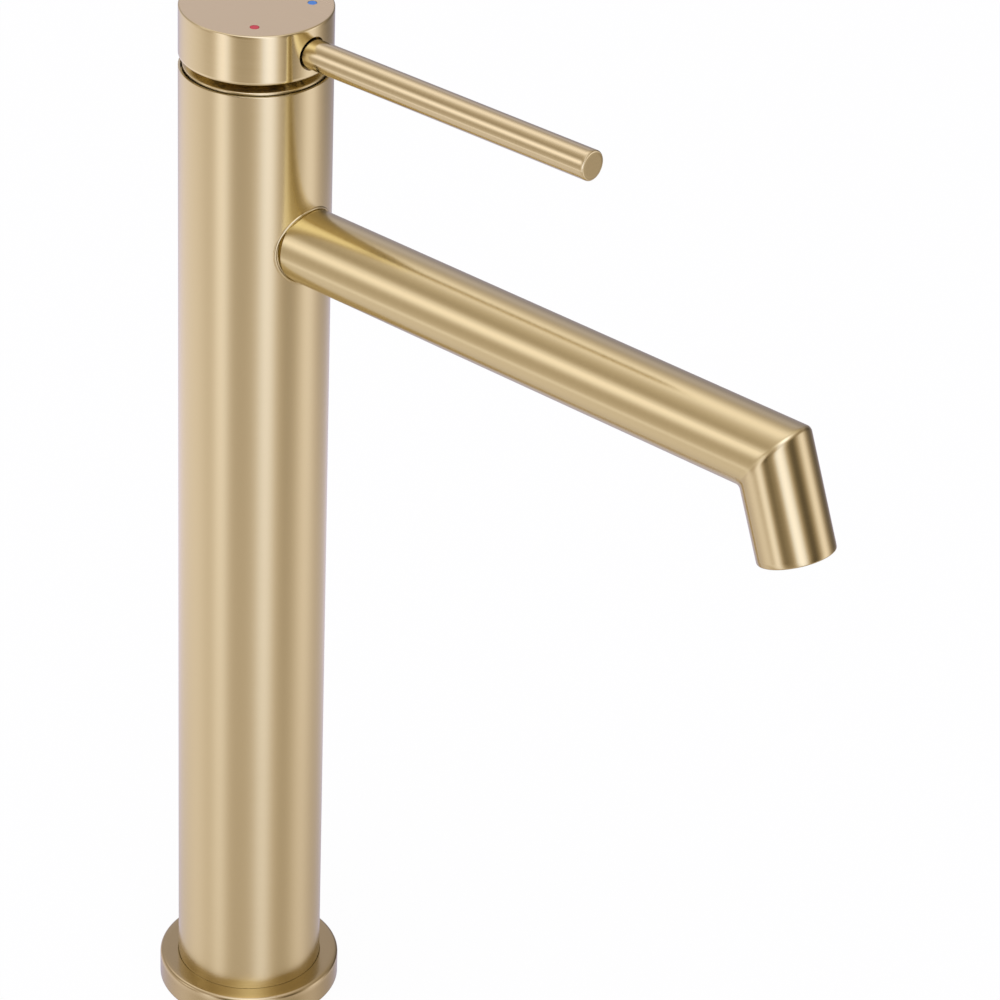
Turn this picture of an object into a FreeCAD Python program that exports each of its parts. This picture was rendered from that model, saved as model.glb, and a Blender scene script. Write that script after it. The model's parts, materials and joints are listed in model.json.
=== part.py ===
import FreeCAD
import Part
import math
import os

# Tall single-lever basin mixer, millimetres.
# Origin on the deck plane at the column's axis, +Z up, spout and lever towards -Y.

Vector = FreeCAD.Vector

# Column and base
column_d = 40.0
column_wall = 2.0
column_top = 285.0
rim_wall = 0.7
rim_chamfer = 0.3
base_d = 50.4
base_h = 7.7
base_ledge = 2.0
base_edge = 1.0
gasket_w = 2.5
gasket_t = 1.2
gasket_inset = 1.5

# Inlets and fixing, in the insert that closes the column's foot
insert_h = 16.0
inlet_r = 4.5
inlet_depth = 9.0
inlet_x = 7.0
fixing_r = 3.4
fixing_depth = 13.0
fixing_y = 9.0
foot_margin = 1.0
riser_d = 10.0
riser_wall = 1.0
riser_socket = 5.0

# Spout
spout_drop = 45.0
spout_d = 20.0
spout_wall = 1.5
spout_len = 173.8
outlet_angle = 70.4
outlet_len = 25.7
outlet_wall = 1.75
outlet_edge = 0.4
lip_w = 0.75
lip_h = 0.45
spout_seal_t = 1.2
boss_margin = 4.0

# Aerator in the outlet
aerator_h = 8.0
aerator_recess = 1.2
aerator_wall = 1.7
aerator_lip = 0.8
aerator_seal_t = 1.5
aerator_seal_w = 2.1
aerator_shoulder = 0.9
core_t = 4.0
core_hole_r = 0.8
core_step = 2.4
core_rings = 2
key_slot_w = 2.0
key_slot_t = 1.2
key_slot_l = 1.1

# Handle
cap_gap = 3.3
cap_h = 13.6
cap_skirt = 1.8
cap_recess = 3.5
cap_edge = 0.3
lever_d = 8.0
lever_reach = 113.0
lever_seat = 5.0
lever_edge = 0.5
lever_tilt = 0.9
lever_drop = 0.8
lever_hole_gap = 0.5
stud_d = 5.0
stud_gap = 0.95
screw_len = 5.0
screw_key = 2.5
spindle_w = 7.0
spindle_grip = 6.8
index_d = 2.4
index_t = 0.8
index_r = 14.2
index_angle = 48.0

# Cartridge
cartridge_d = 26.0
cartridge_wall = 1.5
pivot_drop = 15.0
pin_d = 3.0
lift_angle = 20.0
tip_arm = 8.0
tip_r = 2.2
shank_r = 1.6
shoulder_drop = 4.0
disc_t = 3.0
carrier_floor = 0.8
carrier_collar = 1.5
carrier_flat = 7.0
peg_r = 1.2
peg_h = 1.6
peg_arm = 7.5
port_circle = 5.4
port_angle = 20.0
inlet_port_r = 2.0
outlet_port_r = 2.4
port_base_t = 3.5
port_seal_w = 1.2
port_seal_t = 1.2
mixing_r = 6.6
mixing_edge = 0.8
mixing_depth = 1.6
guide_flange_t = 3.0
guide_neck_r = 8.2
guide_neck_h = 4.4
guide_rail_w = 2.6
guide_rail_l = 11.0
lid_t = 3.7
nut_h = 5.0
nut_thread = 1.0
nut_slots = 6
nut_slot_w = 2.0
nut_slot_t = 1.5

# Valve body and shroud
body_top_drop = 7.0
shroud_seat = 5.0
shroud_foot_h = 3.0
shroud_groove = 0.35
shroud_hole_r = 12.0
shroud_t = 1.2

# Clearances
fit = 0.05
slip = 0.1
loose = 0.3
backlash = 0.25
same_place = 1e-4
hex_sides = 6
root_3 = math.sqrt(3)

# Levels and radii that follow from the sizes above
column_r = column_d / 2
column_bore = column_r - column_wall
seat_bore = column_r - rim_wall
base_r = base_d / 2
gasket_in = base_r - gasket_inset - gasket_w
gasket_out = base_r - gasket_inset
spout_z = column_top - spout_drop
spout_r = spout_d / 2
thread_r = spout_r - outlet_wall
cap_r = column_r
cap_z = column_top + cap_gap
cap_top = cap_z + cap_h
ceiling_z = cap_z + cap_recess
lever_z = cap_z + cap_h / 2 - lever_drop
lever_r = lever_d / 2
stud_r = stud_d / 2
screw_start = spindle_w / 2 + fit
screw_end = screw_start + screw_len
pivot_z = column_top - pivot_drop
tip_z = pivot_z - tip_arm
lift = math.radians(lift_angle)
slide = tip_arm * lift
disc_y = slide / 2
cartridge_r = cartridge_d / 2
chamber_r = cartridge_r - cartridge_wall
disc_r = chamber_r - slip - disc_y - slip
pocket_r = cartridge_r + slip
nut_r = pocket_r + nut_thread - fit
socket_z = tip_z - tip_r - backlash
carrier_z = socket_z - carrier_floor
carrier_top = tip_z + carrier_collar
fixed_disc_z = carrier_z - 2 * disc_t
seat_z = fixed_disc_z - port_base_t
guide_z = carrier_top + loose
flange_top = guide_z + guide_flange_t
lid_z = flange_top + slip
lid_top = lid_z + lid_t
body_z = spout_z - spout_r - boss_margin
body_top = column_top - body_top_drop
spout_floor = pocket_r + cartridge_wall
port_x = port_circle * math.cos(math.radians(port_angle))
port_y = -port_circle * math.sin(math.radians(port_angle))
insert_top = base_ledge + insert_h
foot_hole_r = fixing_y + fixing_r + foot_margin
sides = {"hot": -1, "cold": 1}


def cyl(r, z0, z1, x=0.0, y=0.0):
    return Part.makeCylinder(r, z1 - z0, Vector(x, y, z0))


def ring(r_out, r_in, z0, z1, x=0.0, y=0.0):
    return cyl(r_out, z0, z1, x, y).cut(cyl(r_in, z0, z1, x, y))


def forward_cyl(r, y0, y1, z):
    return Part.makeCylinder(r, y1 - y0, Vector(0, -y0, z), Vector(0, -1, 0))


def box(x0, x1, y0, y1, z0, z1):
    return Part.makeBox(x1 - x0, y1 - y0, z1 - z0, Vector(x0, y0, z0))


def revolved(outline):
    points = [Vector(r, 0, z) for r, z in outline]
    face = Part.Face(Part.makePolygon(points + points[:1]))
    return face.revolve(Vector(0, 0, 0), Vector(0, 0, 1), 360)


def prism_x(outline, half_width):
    points = [Vector(-half_width, y, z) for y, z in outline]
    face = Part.Face(Part.makePolygon(points + points[:1]))
    return face.extrude(Vector(2 * half_width, 0, 0))


# circular edges of radius r about a vertical axis at height z
def rim_edges(shape, r, z):
    found = []
    for edge in shape.Edges:
        curve = edge.Curve
        if isinstance(curve, Part.Circle):
            if abs(curve.Radius - r) < same_place and abs(curve.Center.z - z) < same_place:
                found.append(edge)
    return found


def without(shape, *tools):
    for tool in tools:
        shape = shape.cut(tool)
    return shape


def half_space(point, normal):
    reach = 4 * spout_len
    block = Part.makeBox(reach, reach, reach, Vector(-reach / 2, -reach / 2, 0))
    block.Placement = FreeCAD.Placement(point, FreeCAD.Rotation(Vector(0, 0, 1), normal))
    return block


# Column, base ring and foot

def make_column():
    shell = cyl(column_r, base_ledge, column_top)
    shell = shell.makeChamfer(rim_chamfer, rim_edges(shell, column_r, column_top))
    lip_r = spout_r + slip + lip_w
    lip = forward_cyl(lip_r, column_bore, column_r + lip_h + lip_w, spout_z)
    lip = lip.common(cyl(column_r + lip_h, spout_z - lip_r, spout_z + lip_r))
    return without(
        shell.fuse(lip).removeSplitter(),
        cyl(column_bore, base_ledge, column_top),
        cyl(seat_bore, column_top - shroud_seat, column_top),
        forward_cyl(spout_r + slip, 0, 2 * column_r, spout_z),
    )


def make_base_ring():
    solid = cyl(base_r, 0, base_h)
    solid = solid.makeFillet(base_edge, rim_edges(solid, base_r, base_h))
    return without(
        solid,
        cyl(column_r + fit, base_ledge, base_h),
        cyl(foot_hole_r, 0, base_ledge),
        ring(gasket_out + slip, gasket_in - slip, 0, gasket_t),
    )


def make_base_gasket():
    return ring(gasket_out, gasket_in, 0, gasket_t)


def make_base_insert():
    solid = cyl(column_bore - fit, base_ledge, insert_top)
    for side in sides.values():
        x = side * inlet_x
        solid = without(
            solid,
            cyl(inlet_r, base_ledge, base_ledge + inlet_depth, x, port_y),
            cyl(riser_d / 2 - riser_wall, base_ledge, insert_top, x, port_y),
            cyl(riser_d / 2 + fit, insert_top - riser_socket, insert_top, x, port_y),
        )
    return solid.cut(cyl(fixing_r, base_ledge, base_ledge + fixing_depth, 0, fixing_y))


def make_riser(side):
    low = insert_top - riser_socket
    high = body_z + riser_socket
    return ring(riser_d / 2, riser_d / 2 - riser_wall, low, high, side * inlet_x, port_y)


# Valve body with the cartridge pocket and the water ways

def make_valve_body():
    solid = cyl(column_bore - fit, body_z, body_top)
    solid = without(
        solid,
        cyl(pocket_r, seat_z, body_top),
        cyl(nut_r + fit, lid_top - loose, body_top),
        forward_cyl(spout_r + fit, spout_floor, column_r, spout_z),
        forward_cyl(outlet_port_r, -port_circle, spout_floor, spout_z),
        cyl(outlet_port_r, spout_z, seat_z, 0, port_circle),
    )
    for side in sides.values():
        solid = without(
            solid,
            cyl(riser_d / 2 + fit, body_z, body_z + riser_socket, side * inlet_x, port_y),
            cyl(inlet_port_r, body_z, seat_z, side * port_x, port_y),
        )
    return solid


# Spout: a straight tube and a short outlet, mitred together

spout_corner = Vector(0, -spout_len, spout_z)
outlet_tilt = math.radians(outlet_angle)
outlet_dir = Vector(0, -math.cos(outlet_tilt), -math.sin(outlet_tilt))
mitre_normal = outlet_dir + Vector(0, -1, 0)
outlet_place = FreeCAD.Placement(spout_corner, FreeCAD.Rotation(Vector(0, 0, 1), outlet_dir))
aerator_low = outlet_len - aerator_recess
aerator_z = aerator_low - aerator_h
shoulder_z = aerator_z - aerator_seal_t


def at_outlet(shape):
    shape.Placement = outlet_place
    return shape


def make_spout_tube():
    start = spout_floor + spout_seal_t
    end = spout_len + spout_d
    tube = forward_cyl(spout_r, start, end, spout_z)
    tube = tube.cut(forward_cyl(spout_r - spout_wall, start, end, spout_z))
    return tube.cut(half_space(spout_corner, mitre_normal))


def make_spout_seal():
    start = spout_floor
    end = spout_floor + spout_seal_t
    outer = forward_cyl(spout_r, start, end, spout_z)
    return outer.cut(forward_cyl(spout_r - spout_wall, start, end, spout_z))


def make_spout_outlet():
    solid = cyl(spout_r, -spout_d, outlet_len)
    solid = solid.makeFillet(outlet_edge, rim_edges(solid, spout_r, outlet_len))
    solid = without(
        solid,
        cyl(thread_r - aerator_shoulder, -spout_d, outlet_len),
        cyl(thread_r, shoulder_z, outlet_len),
    )
    return at_outlet(solid).cut(half_space(spout_corner, mitre_normal * -1))


def make_aerator_housing():
    outer = thread_r - slip
    inner = outer - aerator_wall
    solid = without(
        cyl(outer, aerator_z, aerator_low),
        cyl(inner, aerator_z, aerator_low - aerator_lip),
        cyl(inner - aerator_lip, aerator_z, aerator_low),
    )
    for side in (-1, 1):
        x0, x1 = sorted((side * (outer - key_slot_l), side * 2 * outer))
        notch = box(x0, x1, -key_slot_w / 2, key_slot_w / 2, aerator_low - key_slot_t, aerator_low)
        solid = solid.cut(notch)
    return at_outlet(solid)


def make_aerator_core():
    outer = thread_r - slip - aerator_wall - slip
    low = aerator_low - aerator_lip
    solid = cyl(outer, low - core_t, low)
    for q in range(-core_rings, core_rings + 1):
        for s in range(-core_rings, core_rings + 1):
            if abs(q + s) <= core_rings:
                x = core_step * (q + s / 2)
                y = core_step * s * root_3 / 2
                solid = solid.cut(cyl(core_hole_r, low - core_t, low, x, y))
    return at_outlet(solid)


def make_aerator_seal():
    outer = thread_r - slip
    return at_outlet(ring(outer, outer - aerator_seal_w, shoulder_z, aerator_z))


# Cartridge: fixed pieces

def port_places():
    return [(-port_x, port_y, inlet_port_r), (port_x, port_y, inlet_port_r), (0, port_circle, outlet_port_r)]


def make_cartridge_housing():
    return without(
        cyl(cartridge_r, seat_z, lid_top),
        cyl(chamber_r, seat_z, lid_z),
        cyl(guide_neck_r + fit, lid_z, lid_top),
    )


def make_port_base():
    solid = cyl(chamber_r - slip, seat_z, fixed_disc_z)
    for x, y, r in port_places():
        solid = without(
            solid,
            cyl(r, seat_z, fixed_disc_z, x, y),
            cyl(r + port_seal_w, seat_z, seat_z + port_seal_t, x, y),
        )
    return solid


def make_port_seals():
    rings = []
    for x, y, r in port_places():
        rings.append(ring(r + port_seal_w - slip, r, seat_z, seat_z + port_seal_t, x, y))
    return Part.makeCompound(rings)


def make_fixed_disc():
    solid = cyl(chamber_r - slip, fixed_disc_z, fixed_disc_z + disc_t)
    for x, y, r in port_places():
        solid = solid.cut(cyl(r, fixed_disc_z, fixed_disc_z + disc_t, x, y))
    return solid


def make_retaining_nut():
    top = lid_top + nut_h
    solid = ring(nut_r, guide_neck_r + nut_slot_w / 2, lid_top, top)
    for i in range(nut_slots):
        notch = box(0, 2 * nut_r, -nut_slot_w / 2, nut_slot_w / 2, top - nut_slot_t, top)
        notch.rotate(Vector(0, 0, 0), Vector(0, 0, 1), 360 * i / nut_slots)
        solid = solid.cut(notch)
    return solid


# ring in the gap under the cap; its cone is the cap's ceiling laid over at full lift
def make_cartridge_shroud():
    flange_r = seat_bore - slip
    neck_r = seat_bore - shroud_groove
    seat = column_top - shroud_seat
    ceiling = ceiling_z - pivot_z - 2 * loose

    def cone_z(r):
        return pivot_z + (ceiling - r * math.sin(lift)) / math.cos(lift)

    inner_r = neck_r - 2 * shroud_t
    return revolved([
        (inner_r, seat),
        (flange_r, seat),
        (flange_r, seat + shroud_foot_h),
        (neck_r, seat + shroud_foot_h),
        (neck_r, cone_z(neck_r)),
        (shroud_hole_r, cone_z(shroud_hole_r)),
        (shroud_hole_r, cone_z(shroud_hole_r) - shroud_t),
        (inner_r, cone_z(inner_r) - shroud_t),
    ])


# Cartridge: pieces that turn with the handle

def make_spindle_guide():
    top = pivot_z + guide_neck_h
    solid = cyl(chamber_r - loose, guide_z, flange_top).fuse(cyl(guide_neck_r, flange_top, top))
    for side in (-1, 1):
        x0, x1 = sorted((side * (carrier_flat + slip), side * (carrier_flat + slip + guide_rail_w)))
        solid = solid.fuse(box(x0, x1, -guide_rail_l / 2, guide_rail_l / 2, carrier_z + loose, guide_z))
    half = spindle_w / 2
    lean = math.tan(lift)
    wide = half / math.cos(lift) + slip
    slot = [
        (-half - slip, top),
        (-wide, pivot_z),
        (-wide - shoulder_drop * lean, pivot_z - shoulder_drop),
        (-wide - shoulder_drop * lean, guide_z),
        (half + slip, guide_z),
        (wide, pivot_z),
        (wide + guide_neck_h * lean, top),
    ]
    bore_start = Vector(-guide_neck_r, 0, pivot_z)
    bore = Part.makeCylinder(pin_d / 2 + fit / 2, 2 * guide_neck_r, bore_start, Vector(1, 0, 0))
    return without(solid.removeSplitter(), prism_x(slot, half + slip), bore)


def make_pivot_pin():
    reach = guide_neck_r - 2 * slip
    return Part.makeCylinder(pin_d / 2, 2 * reach, Vector(-reach, 0, pivot_z), Vector(1, 0, 0))


def make_disc_carrier():
    solid = cyl(disc_r, carrier_z, carrier_top, 0, disc_y)
    solid = solid.common(box(-carrier_flat, carrier_flat, -cartridge_d, cartridge_d, carrier_z, carrier_top))
    socket = box(
        -tip_r - slip, tip_r + slip,
        -tip_r - backlash, tip_r + backlash,
        socket_z, carrier_top,
    )
    solid = solid.cut(socket)
    for y in (disc_y - peg_arm, disc_y + peg_arm):
        solid = solid.fuse(cyl(peg_r, carrier_z - peg_h, carrier_z, 0, y))
    return solid


def make_moving_disc():
    low = carrier_z - disc_t
    solid = cyl(disc_r, low, carrier_z, 0, disc_y)
    mixing = cyl(mixing_r, low, low + mixing_depth)
    mixing = mixing.common(box(-mixing_r, mixing_r, mixing_edge, mixing_r, low, low + mixing_depth))
    solid = solid.cut(mixing)
    for y in (disc_y - peg_arm, disc_y + peg_arm):
        solid = solid.cut(cyl(peg_r + fit, carrier_z - peg_h - slip, carrier_z, 0, y))
    return solid


# Handle

def make_spindle():
    half = spindle_w / 2
    shoulder = pivot_z - shoulder_drop
    solid = box(-half, half, -half, half, shoulder, ceiling_z + spindle_grip)
    solid = solid.fuse([cyl(shank_r, tip_z, shoulder), Part.makeSphere(tip_r, Vector(0, 0, tip_z))])
    bore = Part.makeCylinder(pin_d / 2 + fit, spindle_w, Vector(-half, 0, pivot_z), Vector(1, 0, 0))
    return solid.removeSplitter().cut(bore)


def at_lever(shape):
    shape.rotate(Vector(0, 0, lever_z), Vector(1, 0, 0), -lever_tilt)
    return shape


def index_places():
    a = math.radians(index_angle)
    return {name: (side * index_r * math.sin(a), -index_r * math.cos(a)) for name, side in sides.items()}


def make_handle_cap():
    solid = cyl(cap_r, cap_z, cap_top)
    edges = rim_edges(solid, cap_r, cap_top) + rim_edges(solid, cap_r, cap_z)
    solid = solid.makeFillet(cap_edge, edges)
    half = spindle_w / 2 + fit
    solid = without(
        solid,
        cyl(cap_r - cap_skirt, cap_z, ceiling_z),
        box(-half, half, -half, half, ceiling_z, ceiling_z + spindle_grip + slip),
        at_lever(forward_cyl(lever_r + lever_hole_gap, cap_r - lever_seat, 2 * cap_r, lever_z)),
        at_lever(forward_cyl(stud_r + fit, 0, cap_r, lever_z)),
    )
    for x, y in index_places().values():
        solid = solid.cut(cyl(index_d / 2 + fit, cap_top - index_t, cap_top, x, y))
    return solid


def make_lever_rod():
    seat = cap_r - lever_seat
    rod = Part.makeCylinder(lever_r, lever_reach - seat)
    rod = rod.makeChamfer(lever_edge, rim_edges(rod, lever_r, lever_reach - seat))
    rod.Placement = FreeCAD.Placement(Vector(0, -seat, lever_z), FreeCAD.Rotation(Vector(1, 0, 0), 90))
    stud = forward_cyl(stud_r, screw_end + stud_gap, seat, lever_z)
    return at_lever(rod.fuse(stud).removeSplitter())


def make_set_screw():
    corner_r = screw_key / root_3
    corners = []
    for i in range(hex_sides + 1):
        a = 2 * math.pi * i / hex_sides
        corners.append(Vector(corner_r * math.cos(a), 0, corner_r * math.sin(a)))
    socket = Part.Face(Part.makePolygon(corners)).extrude(Vector(0, screw_len / 2, 0))
    socket.translate(Vector(0, -screw_end, lever_z))
    return at_lever(forward_cyl(stud_r, screw_start, screw_end, lever_z).cut(socket))


def make_index(name):
    x, y = index_places()[name]
    return cyl(index_d / 2, cap_top - index_t, cap_top, x, y)


nodes = {
    "column": make_column(),
    "base_ring": make_base_ring(),
    "base_gasket": make_base_gasket(),
    "base_insert": make_base_insert(),
    "valve_body": make_valve_body(),
    "spout_tube": make_spout_tube(),
    "spout_outlet": make_spout_outlet(),
    "spout_seal": make_spout_seal(),
    "aerator_housing": make_aerator_housing(),
    "aerator_core": make_aerator_core(),
    "aerator_seal": make_aerator_seal(),
    "cartridge_housing": make_cartridge_housing(),
    "cartridge_port_base": make_port_base(),
    "cartridge_port_seals": make_port_seals(),
    "fixed_disc": make_fixed_disc(),
    "retaining_nut": make_retaining_nut(),
    "cartridge_shroud": make_cartridge_shroud(),
    "spindle_guide": make_spindle_guide(),
    "pivot_pin": make_pivot_pin(),
    "disc_carrier": make_disc_carrier(),
    "moving_disc": make_moving_disc(),
    "spindle": make_spindle(),
    "handle_cap": make_handle_cap(),
    "lever_rod": make_lever_rod(),
    "handle_set_screw": make_set_screw(),
}
for side_name, side_sign in sides.items():
    nodes[side_name + "_supply_tube"] = make_riser(side_sign)
    nodes[side_name + "_index"] = make_index(side_name)

os.makedirs("parts", exist_ok=True)
for node_name, node_shape in nodes.items():
    node_shape.exportStep("parts/" + node_name + ".step")
    volume = round(node_shape.Volume, 1)
    print(node_name, len(node_shape.Solids), "solid(s),", volume, "mm3, valid", node_shape.isValid())
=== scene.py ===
import bmesh
import bpy
import json
import math
from mathutils import Matrix, Vector


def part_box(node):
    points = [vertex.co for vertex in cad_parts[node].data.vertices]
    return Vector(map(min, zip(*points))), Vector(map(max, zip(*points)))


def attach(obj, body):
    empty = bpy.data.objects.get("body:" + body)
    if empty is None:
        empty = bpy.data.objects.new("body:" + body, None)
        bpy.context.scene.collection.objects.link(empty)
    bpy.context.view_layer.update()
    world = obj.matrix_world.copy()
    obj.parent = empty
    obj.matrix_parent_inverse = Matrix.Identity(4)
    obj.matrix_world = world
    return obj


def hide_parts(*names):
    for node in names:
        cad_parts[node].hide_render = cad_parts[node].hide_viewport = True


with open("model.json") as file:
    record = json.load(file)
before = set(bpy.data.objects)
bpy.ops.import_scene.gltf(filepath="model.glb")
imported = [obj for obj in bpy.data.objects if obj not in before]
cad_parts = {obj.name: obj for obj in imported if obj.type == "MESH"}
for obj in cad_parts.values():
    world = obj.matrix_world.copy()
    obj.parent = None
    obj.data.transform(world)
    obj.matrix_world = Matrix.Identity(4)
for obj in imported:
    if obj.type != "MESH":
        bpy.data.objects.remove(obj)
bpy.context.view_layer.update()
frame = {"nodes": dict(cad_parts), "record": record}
mm = 0.001
quarter = math.pi / 2

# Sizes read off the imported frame
columnLo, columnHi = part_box("column")
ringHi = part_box("base_ring")[1]
capLo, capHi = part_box("handle_cap")
tubeLo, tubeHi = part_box("spout_tube")
shroudLo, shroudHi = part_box("cartridge_shroud")
columnR = columnHi.x
capR = capHi.x
spoutR = tubeHi.x
spoutZ = (tubeLo.z + tubeHi.z) / 2
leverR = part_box("lever_rod")[1].x
outletTurn = math.radians(70.4)  # from the spout's axis down to the outlet's


# Shader maths: a wrapped socket with overloaded operators

class Val:
    def __init__(self, tree, socket):
        self.tree = tree
        self.socket = socket

    def math(self, operation, other=None, swap=False):
        pair = [self] if other is None else [self, other]
        if swap:
            pair.reverse()
        return self.tree.add("ShaderNodeMath", {"operation": operation}, dict(enumerate(pair)))

    def __add__(self, other):
        return self.math("ADD", other)

    def __radd__(self, other):
        return self.math("ADD", other, True)

    def __sub__(self, other):
        return self.math("SUBTRACT", other)

    def __rsub__(self, other):
        return self.math("SUBTRACT", other, True)

    def __mul__(self, other):
        return self.math("MULTIPLY", other)

    def __rmul__(self, other):
        return self.math("MULTIPLY", other, True)

    def __truediv__(self, other):
        return self.math("DIVIDE", other)

    def __rtruediv__(self, other):
        return self.math("DIVIDE", other, True)


class Tree:
    def __init__(self, owner):
        owner.use_nodes = True
        self.nodes = owner.node_tree.nodes
        self.links = owner.node_tree.links
        self.nodes.clear()

    # any node: type, settings set first, then socket values or links; returns the named output
    def add(self, kind, settings=None, sockets=None, out=0):
        node = self.nodes.new(kind)
        for key, value in (settings or {}).items():
            if key == "stops":
                ramp = node.color_ramp
                while len(ramp.elements) < len(value):
                    ramp.elements.new(0.5)
                for element, (place, colour) in zip(ramp.elements, value):
                    element.position = place
                    element.color = colour
            else:
                setattr(node, key, value)
        for key, value in (sockets or {}).items():
            if isinstance(value, Val):
                self.links.new(value.socket, node.inputs[key])
            else:
                node.inputs[key].default_value = value
        return Val(self, node.outputs[out]) if node.outputs else node

    def split(self, vector):
        parts = self.add("ShaderNodeSeparateXYZ", None, {0: vector}).socket.node.outputs
        return [Val(self, p) for p in parts]

    def mix(self, factor, a, b):
        return self.add("ShaderNodeMix", {"data_type": "RGBA"}, {0: factor, 6: a, 7: b}, 2)


def rgba(red, green, blue):
    return (red, green, blue, 1.0)


# Brushed brass: fine lines round each piece, with soft clouds of tone

brassLook = {
    "light": rgba(0.755, 0.648, 0.352),
    "deep": rgba(0.695, 0.587, 0.307),
    "turn": (0, 0, 0),  # brings the piece's axis to the pattern's Z
    "roughness": 0.17,
    "lineSpread": 0.06,  # of the roughness, over the lines
    "cloudSpread": 0.03,  # of the roughness, over the clouds
    "stretch": 0.0,  # how far highlights are drawn out along the axis
    "stretchTurn": 0.25,
    "linesPerMetre": 3500,
    "lineRun": 40,
    "lineDetail": 3.0,
    "lineGrain": 0.6,
    "lineShare": 0.6,  # of the tone; the clouds have the rest
    "cloudScale": 18,
    "cloudDetail": 2.0,
    "bump": 0.05,
    "bumpDepth": 0.02 * mm,
}


def brushedBrass(name, **changes):
    look = dict(brassLook, **changes)
    material = bpy.data.materials.new(name)
    t = Tree(material)
    place = t.add("ShaderNodeTexCoord", None, None, "Object")
    local = t.add("ShaderNodeMapping", None, {"Vector": place, "Rotation": look["turn"]})
    # brush lines run round the piece: fine along its axis (local Z), long across it
    pitch = (look["lineRun"], look["lineRun"], look["linesPerMetre"])
    lines = t.add("ShaderNodeMapping", None, {"Vector": local, "Scale": pitch})
    fine = t.add("ShaderNodeTexNoise", None, {
        "Vector": lines, "Scale": 1.0, "Detail": look["lineDetail"], "Roughness": look["lineGrain"]}, "Fac")
    cloud = t.add("ShaderNodeTexNoise", None, {
        "Vector": local, "Scale": look["cloudScale"], "Detail": look["cloudDetail"]}, "Fac")
    tone = fine * look["lineShare"] + cloud * (1 - look["lineShare"])
    colour = t.mix(tone, look["deep"], look["light"])
    rough = look["roughness"] + (fine - 0.5) * look["lineSpread"] + (cloud - 0.5) * look["cloudSpread"]
    bump = t.add("ShaderNodeBump", None, {
        "Strength": look["bump"], "Distance": look["bumpDepth"], "Height": fine})
    shader = t.add("ShaderNodeBsdfPrincipled", None, {
        "Base Color": colour, "Metallic": 1.0, "Roughness": rough, "Normal": bump,
        "Anisotropic": look["stretch"], "Anisotropic Rotation": look["stretchTurn"]})
    t.add("ShaderNodeOutputMaterial", None, {"Surface": shader})
    return material


columnBrass = brushedBrass("brushedBrassUpright", stretch=0.7, roughness=0.23)
# painted shade: the base ring gets a darker copy of the same brass
baseShadedBrass = brushedBrass(
    "brushedBrassBasePaintedShade", stretch=0.4, roughness=0.19,
    light=rgba(0.59, 0.482, 0.249), deep=rgba(0.543, 0.437, 0.217))
capBrass = brushedBrass("brushedBrassCap", stretch=0.7, roughness=0.125)
# painted light: a lighter copy of the cap's brass for its flat top, standing in for the light that falls on
# the top
capTopPaintedLightBrass = brushedBrass(
    "brushedBrassCapTopPaintedLight", turn=(0, quarter, 0), roughness=0.26,
    light=rgba(0.93, 0.77, 0.43), deep=rgba(0.86, 0.71, 0.385))
spoutBrass = brushedBrass(
    "brushedBrassLevel", turn=(quarter, 0, 0), roughness=0.22,
    light=rgba(0.755, 0.648, 0.331), deep=rgba(0.695, 0.587, 0.289))
# the outlet's brass: smoother, and a darker copy of the spout's colour, which is painted shade
outletShadedBrass = brushedBrass(
    "brushedBrassOutletPaintedShade", turn=(quarter - outletTurn, 0, 0), roughness=0.16,
    light=rgba(0.70, 0.592, 0.307), deep=rgba(0.645, 0.537, 0.268))
leverBrass = brushedBrass(
    "brushedBrassLever", turn=(quarter, 0, 0), linesPerMetre=1500, bump=0.1,
    light=rgba(0.775, 0.665, 0.365), deep=rgba(0.655, 0.553, 0.288))
# painted shade: a much darker copy of the brass for the lever's flat end face
leverEndShadedBrass = brushedBrass(
    "brushedBrassLeverEndPaintedShade", roughness=0.22,
    light=rgba(0.434, 0.346, 0.153), deep=rgba(0.367, 0.288, 0.121))


# Plain finishes: a fine grain between two tones

grainLook = {
    "roughness": 0.4,
    "grainSpread": 0.15,  # of the roughness, over the grain
    "metallic": 0.0,
    "coat": 0.0,
    "scale": 1200,
    "grainDetail": 4.0,
    "grainShare": 0.5,  # of the tone; the clouds have the rest
    "cloudRatio": 12,  # grains across one cloud
    "cloudDetail": 2.0,
    "bump": 0.1,
    "bumpDepth": 0.03 * mm,
}


def grainy(name, dark, light, **changes):
    look = dict(grainLook, **changes)
    material = bpy.data.materials.new(name)
    t = Tree(material)
    place = t.add("ShaderNodeTexCoord", None, None, "Object")
    grain = t.add("ShaderNodeTexNoise", None, {
        "Vector": place, "Scale": look["scale"], "Detail": look["grainDetail"]}, "Fac")
    cloud = t.add("ShaderNodeTexNoise", None, {
        "Vector": place, "Scale": look["scale"] / look["cloudRatio"], "Detail": look["cloudDetail"]}, "Fac")
    colour = t.mix(grain * look["grainShare"] + cloud * (1 - look["grainShare"]), dark, light)
    rough = look["roughness"] + (grain - 0.5) * look["grainSpread"]
    bump = t.add("ShaderNodeBump", None, {
        "Strength": look["bump"], "Distance": look["bumpDepth"], "Height": grain})
    shader = t.add("ShaderNodeBsdfPrincipled", None, {
        "Base Color": colour, "Metallic": look["metallic"], "Roughness": rough, "Normal": bump,
        "Coat Weight": look["coat"]})
    t.add("ShaderNodeOutputMaterial", None, {"Surface": shader})
    return material


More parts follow.
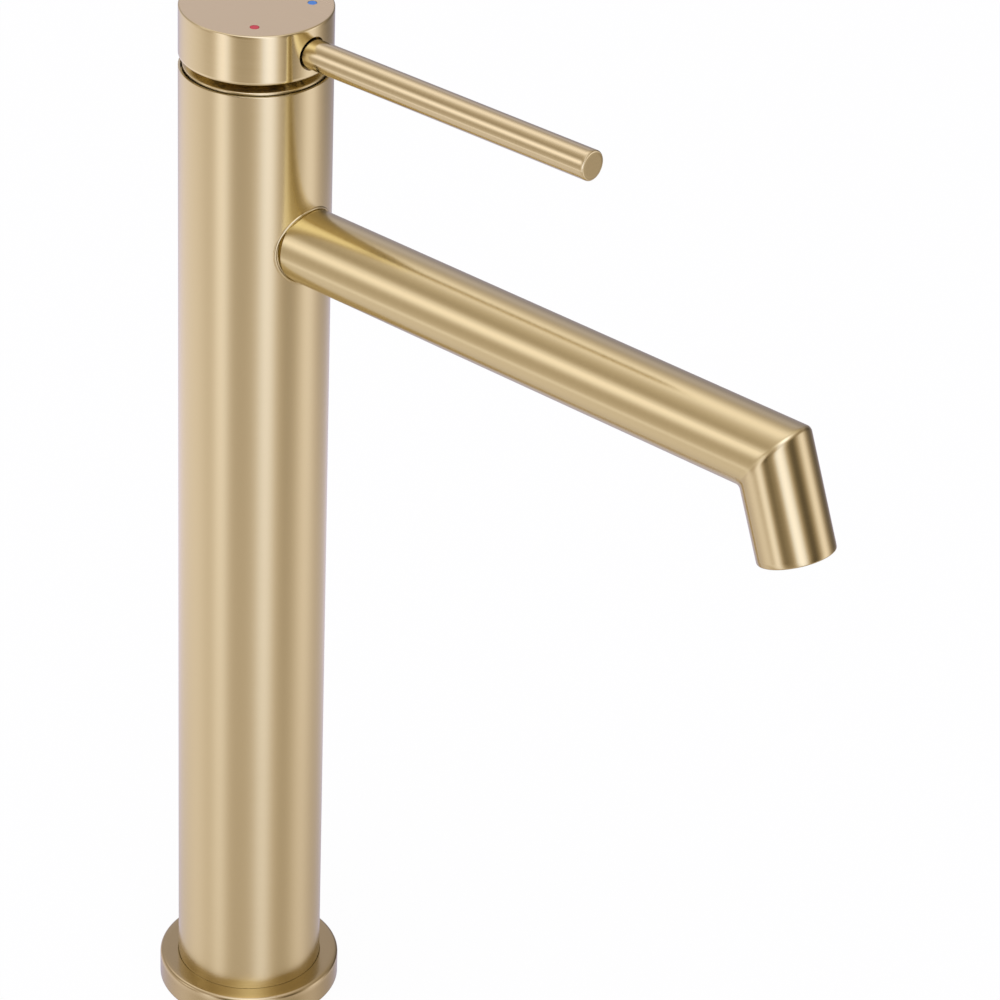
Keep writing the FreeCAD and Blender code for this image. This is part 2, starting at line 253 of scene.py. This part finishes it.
machinedBrass = grainy(
    "machinedBrass", rgba(0.55, 0.40, 0.19), rgba(0.68, 0.52, 0.28), roughness=0.35, metallic=1.0, scale=1500)
copperTube = grainy(
    "copperTube", rgba(0.60, 0.30, 0.19), rgba(0.75, 0.42, 0.28), roughness=0.32, metallic=1.0, scale=700)
bareSteel = grainy(
    "bareSteel", rgba(0.42, 0.42, 0.43), rgba(0.58, 0.58, 0.60), roughness=0.3, metallic=1.0, scale=1800)
blackRubber = grainy(
    "blackRubber", rgba(0.012, 0.012, 0.012), rgba(0.03, 0.03, 0.03), roughness=0.7, scale=1500, bump=0.3)
whitePlastic = grainy("whitePlastic", rgba(0.68, 0.68, 0.66), rgba(0.78, 0.78, 0.76), roughness=0.42)
greyPlastic = grainy("greyPlastic", rgba(0.10, 0.105, 0.11), rgba(0.15, 0.155, 0.16), roughness=0.45)
lappedCeramic = grainy(
    "lappedCeramic", rgba(0.78, 0.77, 0.73), rgba(0.86, 0.85, 0.82), roughness=0.18, scale=2500, bump=0.02)
redEnamel = grainy(
    "redEnamel", rgba(0.46, 0.02, 0.025), rgba(0.56, 0.03, 0.035), roughness=0.35, scale=2500, bump=0.05,
    coat=0.1)
blueEnamel = grainy(
    "blueEnamel", rgba(0.03, 0.17, 0.46), rgba(0.05, 0.21, 0.54), roughness=0.35, scale=2500, bump=0.05,
    coat=0.1)

slotFinish = {
    "brushed_brass": columnBrass,
    "raw_brass": machinedBrass,
    "copper_tube": copperTube,
    "steel": bareSteel,
    "rubber": blackRubber,
    "white_plastic": whitePlastic,
    "grey_plastic": greyPlastic,
    "ceramic": lappedCeramic,
    "hot_red": redEnamel,
    "cold_blue": blueEnamel,
}
for part in frame["record"]["subparts"]:
    nodeMesh = frame["nodes"][part["node"]].data
    nodeMesh.materials.clear()
    nodeMesh.materials.append(slotFinish[part["material_slot"]])
print("finishes on", len(frame["nodes"]), "nodes")


# Mesh helpers

meshLook = {
    "roundSteps": 160,
    "weld": 0.001 * mm,
    "sharpAngle": 28.0,
    "guardReach": 2.5,  # guard points stand this many corner radii off the corner
    "guardShare": 0.45,  # but at most this far along the outline's next stretch
}


def finishPiece(bm, name, material, body, replaced, sharpAngle=meshLook["sharpAngle"]):
    bmesh.ops.remove_doubles(bm, verts=bm.verts, dist=meshLook["weld"])
    bmesh.ops.recalc_face_normals(bm, faces=bm.faces)
    limit = math.radians(sharpAngle)
    for face in bm.faces:
        face.smooth = True
    for edge in bm.edges:
        edge.smooth = len(edge.link_faces) == 2 and edge.calc_face_angle() < limit
    mesh = bpy.data.meshes.new(name)
    bm.to_mesh(mesh)
    bm.free()
    mesh.materials.append(material)
    piece = bpy.data.objects.new(name, mesh)
    bpy.context.scene.collection.objects.link(piece)
    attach(piece, body)
    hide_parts(*replaced)
    return piece


# outline of (radius, height) points, spun about Z; the edges to round are given by their point's index, as
# (radius, segments), and bevelled on the outline, between guard points that keep long faces truly straight
def spunSolid(outline, edges, steps=meshLook["roundSteps"], closed=True):
    bm = bmesh.new()
    points = [Vector((r, 0, z)) for r, z in outline]
    line = []
    bevels = []
    for index, point in enumerate(points):
        if index not in edges:
            line.append(bm.verts.new(point))
            continue
        radius, segments = edges[index]
        reach = meshLook["guardReach"] * radius
        ways = [other - point for other in (points[index - 1], points[(index + 1) % len(points)])]
        back, ahead = [way * min(meshLook["guardShare"], reach / way.length) for way in ways]
        trio = [bm.verts.new(p) for p in (point + back, point, point + ahead)]
        line.extend(trio)
        bevels.append((trio[1], radius, segments))
    following = line[1:] + line[:1] if closed else line[1:]
    for a, b in zip(line, following):
        bm.edges.new((a, b))
    for corner, radius, segments in bevels:
        bmesh.ops.bevel(bm, geom=[corner], offset=radius, offset_type="OFFSET", affect="VERTICES",
                        segments=segments, profile=0.5, material=-1)
    bmesh.ops.spin(bm, geom=list(bm.verts) + list(bm.edges), cent=(0, 0, 0), axis=(0, 0, 1),
                   angle=2 * math.pi, steps=steps, use_merge=True)
    return bm


# a ring of edges extruded on the spot: the new ring's vertices and edges
def extrudeRing(bm, edges):
    made = bmesh.ops.extrude_edge_only(bm, edges=edges)["geom"]
    verts = [g for g in made if isinstance(g, bmesh.types.BMVert)]
    ring = [g for g in made if isinstance(g, bmesh.types.BMEdge) and all(v in verts for v in g.verts)]
    return verts, ring


print("helpers ready")


# Column: tube with a fine rim round the shroud's seat

columnLook = {"wall": 2.0 * mm, "rimWall": 0.56 * mm, "rimEdge": (0.12 * mm, 3), "seatDepth": 5.0 * mm}


def makeColumn(look=columnLook):
    bore = columnR - look["wall"]
    seat = columnR - look["rimWall"]
    top = columnHi.z
    outline = [
        (bore, columnLo.z), (columnR, columnLo.z), (columnR, top), (seat, top),
        (seat, top - look["seatDepth"]), (bore, top - look["seatDepth"])]
    bm = spunSolid(outline, {2: look["rimEdge"]})
    return finishPiece(bm, "columnTube", columnBrass, "fixed_body", ["column"])


# Lip: a thin bead round the spout's root that follows the column's curve

lipLook = {"gap": 0.02 * mm, "width": 0.7 * mm, "proud": 0.4 * mm, "sunk": 1.0 * mm, "edge": (0.3 * mm, 4)}


def makeLip(look=lipLook):
    inner = spoutR + look["gap"]
    outer = inner + look["width"]
    outline = [
        (inner, -look["sunk"]), (outer, -look["sunk"]), (outer, look["proud"]), (inner, look["proud"])]
    bm = spunSolid(outline, {2: look["edge"], 3: look["edge"]})
    # the spun ring stands on Z: lay it on the column's front, then bend it round the column
    lay = Matrix.Translation((0, -columnR, spoutZ)) @ Matrix.Rotation(quarter, 4, "X")
    bmesh.ops.transform(bm, matrix=lay, verts=bm.verts)
    for vert in bm.verts:
        vert.co.y += columnR - math.sqrt(columnR ** 2 - vert.co.x ** 2)
    return finishPiece(bm, "spoutRootLip", columnBrass, "fixed_body", [])


# Base ring: foot with a rounded top edge, a ledge under the column and the gasket's groove

baseLook = {
    "footEdge": (0.3 * mm, 2), "topEdge": (1.0 * mm, 6), "boreEdge": (0.12 * mm, 2), "seam": 0.06 * mm,
    "ledge": 2.0 * mm, "hole": 13.4 * mm, "grooveIn": 21.1 * mm, "grooveOut": 23.8 * mm,
    "grooveDepth": 1.2 * mm}


def makeBaseRing(look=baseLook):
    ringR = ringHi.x
    bore = columnR + look["seam"]
    outline = [
        (look["hole"], 0), (look["grooveIn"], 0), (look["grooveIn"], look["grooveDepth"]),
        (look["grooveOut"], look["grooveDepth"]), (look["grooveOut"], 0), (ringR, 0), (ringR, ringHi.z),
        (bore, ringHi.z), (bore, look["ledge"]), (look["hole"], look["ledge"])]
    bm = spunSolid(outline, {5: look["footEdge"], 6: look["topEdge"], 7: look["boreEdge"]})
    # the ring wears the darker brass copy, which is painted shade
    return finishPiece(bm, "baseRing", baseShadedBrass, "fixed_body", ["base_ring"])


# Shroud in the gap under the cap

shroudLook = {
    "flangeTop": 3.0 * mm, "neckInset": 0.25 * mm, "holeR": 12.0 * mm, "wall": 1.2 * mm, "lift": 20.0,
    "neckEdge": (0.3 * mm, 4)}


def makeShroud(look=shroudLook):
    flangeR = shroudHi.x
    neckR = flangeR - look["neckInset"]
    slope = math.tan(math.radians(look["lift"]))
    innerR = neckR - 2 * look["wall"]
    coneTop = shroudHi.z
    neckTop = coneTop - (neckR - look["holeR"]) * slope
    flangeTop = shroudLo.z + look["flangeTop"]
    outline = [
        (innerR, shroudLo.z), (flangeR, shroudLo.z), (flangeR, flangeTop), (neckR, flangeTop),
        (neckR, neckTop), (look["holeR"], coneTop), (look["holeR"], coneTop - look["wall"]),
        (innerR, coneTop - look["wall"] - (innerR - look["holeR"]) * slope)]
    bm = spunSolid(outline, {4: look["neckEdge"]})
    return finishPiece(bm, "gapShroud", columnBrass, "fixed_body", ["cartridge_shroud"])


# Spout: tube and outlet mitred into one piece

spoutLook = {
    "start": 1.2 * mm, "outletLength": 25.7 * mm, "rimWall": 1.75 * mm, "boreDepth": 12.0 * mm,
    "crease": (0.9 * mm, 6), "rimEdge": (0.4 * mm, 4), "guard": 1.6 * mm, "cutDistance": 0.0001 * mm,
    "sharpAngle": 40.0}


def makeSpout(look=spoutLook):
    half = outletTurn / 2
    reach = -tubeLo.y - spoutR * math.tan(half)
    startY = -columnR + look["start"]
    cornerAt = Vector((0, -reach, spoutZ))
    outletDir = Vector((0, -math.cos(outletTurn), -math.sin(outletTurn)))
    mitreNormal = (outletDir + Vector((0, -1, 0))).normalized()
    endCentre = cornerAt + outletDir * look["outletLength"]
    bm = bmesh.new()
    # ring at the root, standing on the column's wall
    root = bmesh.ops.create_circle(bm, segments=meshLook["roundSteps"], radius=spoutR, cap_ends=True)["verts"]
    stand = Matrix.Translation((0, startY, spoutZ)) @ Matrix.Rotation(quarter, 4, "X")
    bmesh.ops.transform(bm, matrix=stand, verts=root)
    # straight run, its end sheared into the mitre plane
    mitreVerts, mitreEdges = extrudeRing(bm, list(bm.edges))
    bmesh.ops.translate(bm, verts=mitreVerts, vec=(0, -reach - startY, 0))
    shear = Matrix.Identity(4)
    shear[1][2] = -math.tan(half)
    shear[1][3] = spoutZ * math.tan(half)
    bmesh.ops.transform(bm, matrix=shear, verts=mitreVerts)
    # outlet: undo the shear, swing the ring down and push it along the outlet's axis
    endVerts, endEdges = extrudeRing(bm, mitreEdges)
    corner = Matrix.Translation(cornerAt)
    push = Matrix.Translation((0, -look["outletLength"], 0))
    turned = corner @ Matrix.Rotation(outletTurn, 4, "X") @ push
    swing = turned @ corner.inverted() @ shear.inverted()
    bmesh.ops.transform(bm, matrix=swing, verts=endVerts)
    # rim and bore of the outlet
    rimVerts, rimEdges = extrudeRing(bm, endEdges)
    shrink = (spoutR - look["rimWall"]) / spoutR
    bmesh.ops.scale(bm, vec=(shrink,) * 3, space=Matrix.Translation(-endCentre), verts=rimVerts)
    boreVerts, boreEdges = extrudeRing(bm, rimEdges)
    bmesh.ops.translate(bm, verts=boreVerts, vec=-outletDir * look["boreDepth"])
    bmesh.ops.contextual_create(bm, geom=boreEdges)
    for edges, (width, segments) in ((endEdges + rimEdges, look["rimEdge"]), (mitreEdges, look["crease"])):
        bmesh.ops.bevel(bm, geom=edges, offset=width, affect="EDGES", segments=segments, profile=0.5,
                        material=-1)
    # guard loops beside the crease and the rim keep the long faces truly straight
    guards = [
        (cornerAt - mitreNormal * look["guard"], mitreNormal),
        (cornerAt + mitreNormal * look["guard"], mitreNormal),
        (endCentre - outletDir * look["guard"], outletDir)]
    for place, normal in guards:
        whole = list(bm.verts) + list(bm.edges) + list(bm.faces)
        bmesh.ops.bisect_plane(bm, geom=whole, dist=look["cutDistance"], plane_co=place, plane_no=normal)
    for face in bm.faces:
        pastMitre = (face.calc_center_median() - cornerAt).dot(mitreNormal) > 0
        face.material_index = 1 if pastMitre else 0
    piece = finishPiece(bm, "mitredSpout", spoutBrass, "fixed_body", ["spout_tube", "spout_outlet"],
                        sharpAngle=look["sharpAngle"])
    # faces past the mitre take the outlet's smoother brass, whose darker colour is painted shade
    piece.data.materials.append(outletShadedBrass)
    return piece


# Lever: turned pin with a rounded end; its local Z runs outwards along the pin, from the column's axis

leverLook = {
    "tilt": 0.9, "drop": 0.8 * mm, "seat": 5.0 * mm, "reach": 113.0 * mm, "endEdge": (0.5 * mm, 3),
    "endDepth": 0.01 * mm, "steps": 96}
leverZ = (capLo.z + capHi.z) / 2 - leverLook["drop"]
leverRise = Matrix.Rotation(quarter - math.radians(leverLook["tilt"]), 4, "X")
leverPlace = Matrix.Translation((0, 0, leverZ)) @ leverRise
leverSeat = capR - leverLook["seat"]


def makeLever(look=leverLook):
    outline = [(0, leverSeat), (leverR, leverSeat), (leverR, look["reach"]), (0, look["reach"])]
    bm = spunSolid(outline, {2: look["endEdge"]}, look["steps"], False)
    # the flat end face takes the dark brass copy, which is painted shade
    for face in bm.faces:
        atEnd = all(v.co.z > look["reach"] - look["endDepth"] for v in face.verts)
        face.material_index = 1 if atEnd else 0
    bmesh.ops.transform(bm, matrix=leverPlace, verts=bm.verts)
    piece = finishPiece(bm, "pinLever", leverBrass, "handle", ["lever_rod"])
    piece.data.materials.append(leverEndShadedBrass)
    return piece


# Handle cap: disc with a recess under it, a hole for the lever and pockets for the dots

capLook = {
    "lowEdge": (0.36 * mm, 4), "topEdge": (0.36 * mm, 5), "skirt": 1.8 * mm, "recess": 3.5 * mm,
    "holeGap": 0.5 * mm, "holeSteps": 96, "dotGap": 0.05 * mm, "dotSteps": 48,
    "topFacing": 0.99, "topDepth": 0.05 * mm}


def makeCap(look=capLook):
    inner = capR - look["skirt"]
    ceiling = capLo.z + look["recess"]
    outline = [
        (0, ceiling), (inner, ceiling), (inner, capLo.z), (capR, capLo.z), (capR, capHi.z), (0, capHi.z)]
    bm = spunSolid(outline, {3: look["lowEdge"], 4: look["topEdge"]}, closed=False)
    piece = finishPiece(bm, "handleCap", capBrass, "handle", ["handle_cap"])
    cutter = bmesh.new()
    holeR = leverR + look["holeGap"]
    hole = bmesh.ops.create_cone(cutter, cap_ends=True, segments=look["holeSteps"], radius1=holeR,
                                 radius2=holeR, depth=capR)["verts"]
    bmesh.ops.translate(cutter, verts=hole, vec=(0, 0, leverSeat + capR / 2))
    bmesh.ops.transform(cutter, matrix=leverPlace, verts=hole)
    for node in ("hot_index", "cold_index"):
        lo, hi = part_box(node)
        middle = (lo + hi) / 2
        pocketR = middle.x - lo.x + look["dotGap"]
        pocket = bmesh.ops.create_cone(cutter, cap_ends=True, segments=look["dotSteps"], radius1=pocketR,
                                       radius2=pocketR, depth=2 * (hi.z - lo.z))["verts"]
        bmesh.ops.translate(cutter, verts=pocket, vec=(middle.x, middle.y, hi.z))
    cutMesh = bpy.data.meshes.new("capCutter")
    cutter.to_mesh(cutMesh)
    cutter.free()
    cutObject = bpy.data.objects.new("capCutter", cutMesh)
    bpy.context.scene.collection.objects.link(cutObject)
    cut = piece.modifiers.new("capHoles", "BOOLEAN")
    cut.object = cutObject
    cut.operation = "DIFFERENCE"
    cut.solver = "EXACT"
    bpy.context.view_layer.update()
    holed = bpy.data.meshes.new_from_object(piece.evaluated_get(bpy.context.evaluated_depsgraph_get()))
    piece.modifiers.clear()
    piece.data = holed
    # the flat top faces take the lighter brass copy: painted light on the cap's top
    holed.materials.append(capTopPaintedLightBrass)
    for face in holed.polygons:
        onTop = face.normal.z > look["topFacing"] and face.center.z > capHi.z - look["topDepth"]
        face.material_index = 1 if onTop else 0
    bpy.data.objects.remove(cutObject)
    return piece


# Index dots: enamel filled discs, level with the cap's top

dotLook = {"edge": (0.12 * mm, 3), "steps": 48}


def makeDot(node, name, finish, look=dotLook):
    lo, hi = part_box(node)
    radius = (hi.x - lo.x) / 2
    centre = (lo + hi) / 2
    outline = [(0, lo.z), (radius, lo.z), (radius, hi.z), (0, hi.z)]
    bm = spunSolid(outline, {2: look["edge"]}, look["steps"], False)
    bmesh.ops.translate(bm, verts=bm.verts, vec=(centre.x, centre.y, 0))
    return finishPiece(bm, name, finish, "handle", [node])


makeColumn()
makeLip()
makeBaseRing()
makeShroud()
makeSpout()
makeCap()
makeLever()
makeDot("hot_index", "hotDot", redEnamel)
makeDot("cold_index", "coldDot", blueEnamel)
print("pieces made")


# Camera, as the photograph was taken

cameraLook = {
    "place": (-0.80251, -0.77201, 0.81217), "heading": 49.539, "pitch": 30.4585, "roll": 2.1997,
    "lens": 172.48, "sensor": 36.0}


def makeCamera(look=cameraLook):
    data = bpy.data.cameras.new("photoCamera")
    data.lens = look["lens"]
    data.sensor_width = look["sensor"]
    camera = bpy.data.objects.new("photoCamera", data)
    bpy.context.scene.collection.objects.link(camera)
    turn = Matrix.Rotation(math.radians(-look["heading"]), 4, "Z")
    tip = Matrix.Rotation(math.radians(90 - look["pitch"]), 4, "X")
    roll = Matrix.Rotation(math.radians(look["roll"]), 4, "Z")
    camera.matrix_world = Matrix.Translation(look["place"]) @ turn @ tip @ roll
    bpy.context.scene.camera = camera


# Floor: matte to the light, near white to the camera, unseen in reflections

floorLook = {"size": 6.0, "colour": rgba(0.9, 0.9, 0.9), "glow": rgba(1, 1, 1), "white": 0.96}


def makeFloor(look=floorLook):
    bm = bmesh.new()
    bmesh.ops.create_grid(bm, x_segments=1, y_segments=1, size=look["size"])
    mesh = bpy.data.meshes.new("paleFloor")
    bm.to_mesh(mesh)
    bm.free()
    floor = bpy.data.objects.new("paleFloor", mesh)
    bpy.context.scene.collection.objects.link(floor)
    material = bpy.data.materials.new("paleFloor")
    t = Tree(material)
    matte = t.add("ShaderNodeBsdfDiffuse", None, {"Color": look["colour"]})
    glow = t.add("ShaderNodeEmission", None, {"Color": look["glow"], "Strength": 1.0})
    seen = t.add("ShaderNodeLightPath", None, None, "Is Camera Ray")
    both = t.add("ShaderNodeMixShader", None, {0: seen * look["white"], 1: matte, 2: glow})
    t.add("ShaderNodeOutputMaterial", None, {"Surface": both})
    mesh.materials.append(material)
    floor.visible_glossy = False


# Studio, directions in degrees: panels stand round the horizon (direction, tightness, strength), spots are
# soft patches (direction, height, tightness, strength), and a strength below 0 darkens. Over the height, from
# -1 straight down to 1 straight up, shade is the plain light and gain is how far the panels show

studioLook = {
    "panels": [
        (99, 3.6, 0.5), (175, 34, 0.88), (-116, 30, 0.95), (-50, 17, 0.6), (-81, 20, -0.2), (-6, 10, -0.2)],
    "spots": [
        (144, 17, 45, 1.08), (78, 54, 24, 0.66), (133, -42, 20, 0.22), (44, 24, 40, 0.22),
        (-136, 58, 10, 1.25), (-130, -4, 50, 0.65), (-102, -4, 28, -0.12), (-172, -5, 40, -0.45),
        (-48, -4, 30, 0.3), (-134, 22, 25, 0.5)],
    "shade": [
        (-1.0, 0.6), (-0.58, 0.55), (-0.51, 0.92), (-0.465, 0.79), (-0.43, 0.43), (-0.38, 0.42), (-0.1, 0.32),
        (0.25, 0.34), (0.42, 0.44), (0.6, 0.40), (1.0, 0.8)],
    "gain": [
        (-1.0, 0.2), (-0.58, 0.22), (-0.51, 0.28), (-0.465, 0.5), (-0.43, 0.95), (-0.38, 1.0), (-0.1, 1.1),
        (0.15, 0.9), (0.4, 0.1), (1.0, 0.0)],
    "warm": rgba(1.0, 0.807, 0.67),  # tint of the dim parts
    "white": rgba(1.0, 0.93, 1.11),  # tint of the bright parts
    "whitening": (1.4, -0.4),  # share of white: the light times the first, plus the second
    "front": (-134, 2.6, rgba(1.0, 1.02, 1.45)),  # direction, tightness and tint of the light from the front
    "fronting": (2.5, -2.0),  # share of the front's tint, in the same way
    "cool": (44, 2.6, rgba(0.96, 0.90, 1.20)),  # the same for the far side, up to a height
    "coolTop": (0.5, 0.75),
    "backdrop": rgba(1, 1, 1),
    "poleGuard": 0.0001,  # keeps the directions finite straight up and down
}


def heightRamp(t, z, stops):
    greys = [((height + 1) / 2, rgba(value, value, value)) for height, value in stops]
    return t.add("ShaderNodeValToRGB", {"stops": greys}, {0: z * 0.5 + 0.5})


def makeStudio(look=studioLook):
    world = bpy.data.worlds.new("studio")
    bpy.context.scene.world = world
    t = Tree(world)
    place = t.add("ShaderNodeTexCoord", None, None, "Generated")
    x, y, z = t.split(place)
    level = (x * x + y * y + look["poleGuard"]).math("SQRT")

    def side(degrees, tightness):
        a = math.radians(degrees)
        return (((x * math.cos(a) + y * math.sin(a)) / level - 1) * tightness).math("EXPONENT")

    def spot(degrees, height, tightness):
        a, h = math.radians(degrees), math.radians(height)
        facing = x * (math.cos(a) * math.cos(h)) + y * (math.sin(a) * math.cos(h)) + z * math.sin(h)
        return ((facing - 1) * tightness).math("EXPONENT")

    panels = 0.0
    for degrees, tightness, strength in look["panels"]:
        panels = side(degrees, tightness) * strength + panels
    spots = 0.0
    for degrees, height, tightness, strength in look["spots"]:
        spots = spot(degrees, height, tightness) * strength + spots
    glow = heightRamp(t, z, look["shade"]) + panels * heightRamp(t, z, look["gain"]) + spots

    def onset(times, plus):
        return t.add("ShaderNodeClamp", None, {0: glow * times + plus})

    tint = t.mix(onset(*look["whitening"]), look["warm"], look["white"])
    degrees, tightness, colour = look["front"]
    tint = t.mix(side(degrees, tightness) * onset(*look["fronting"]), tint, colour)
    degrees, tightness, colour = look["cool"]
    low, high = look["coolTop"]
    under = t.add("ShaderNodeMapRange", None, {
        "Value": z, "From Min": low, "From Max": high, "To Min": 1.0, "To Max": 0.0})
    tint = t.mix(side(degrees, tightness) * under, tint, colour)
    seen = t.add("ShaderNodeLightPath", None, None, "Is Camera Ray")
    shown = t.mix(seen, tint, look["backdrop"])
    background = t.add("ShaderNodeBackground", None, {"Color": shown, "Strength": glow * (1 - seen) + seen})
    t.add("ShaderNodeOutputWorld", None, {"Surface": background})


# Overhead soft lamp: lifts the flat tops and lays the soft shadow on the floor

lampLook = {"place": (-0.25, 0.1, 1.6), "size": 1.2, "watts": 6.0}


def makeLamp(look=lampLook):
    data = bpy.data.lights.new("overheadLamp", "AREA")
    data.shape = "DISK"
    data.size = look["size"]
    data.energy = look["watts"]
    lamp = bpy.data.objects.new("overheadLamp", data)
    bpy.context.scene.collection.objects.link(lamp)
    lamp.location = look["place"]
    lamp.rotation_euler = Vector(look["place"]).to_track_quat("Z", "Y").to_euler()
    lamp.visible_glossy = False


makeCamera()
makeFloor()
makeStudio()
makeLamp()
bpy.context.scene.view_settings.view_transform = "Standard"
print("camera, floor and studio ready")
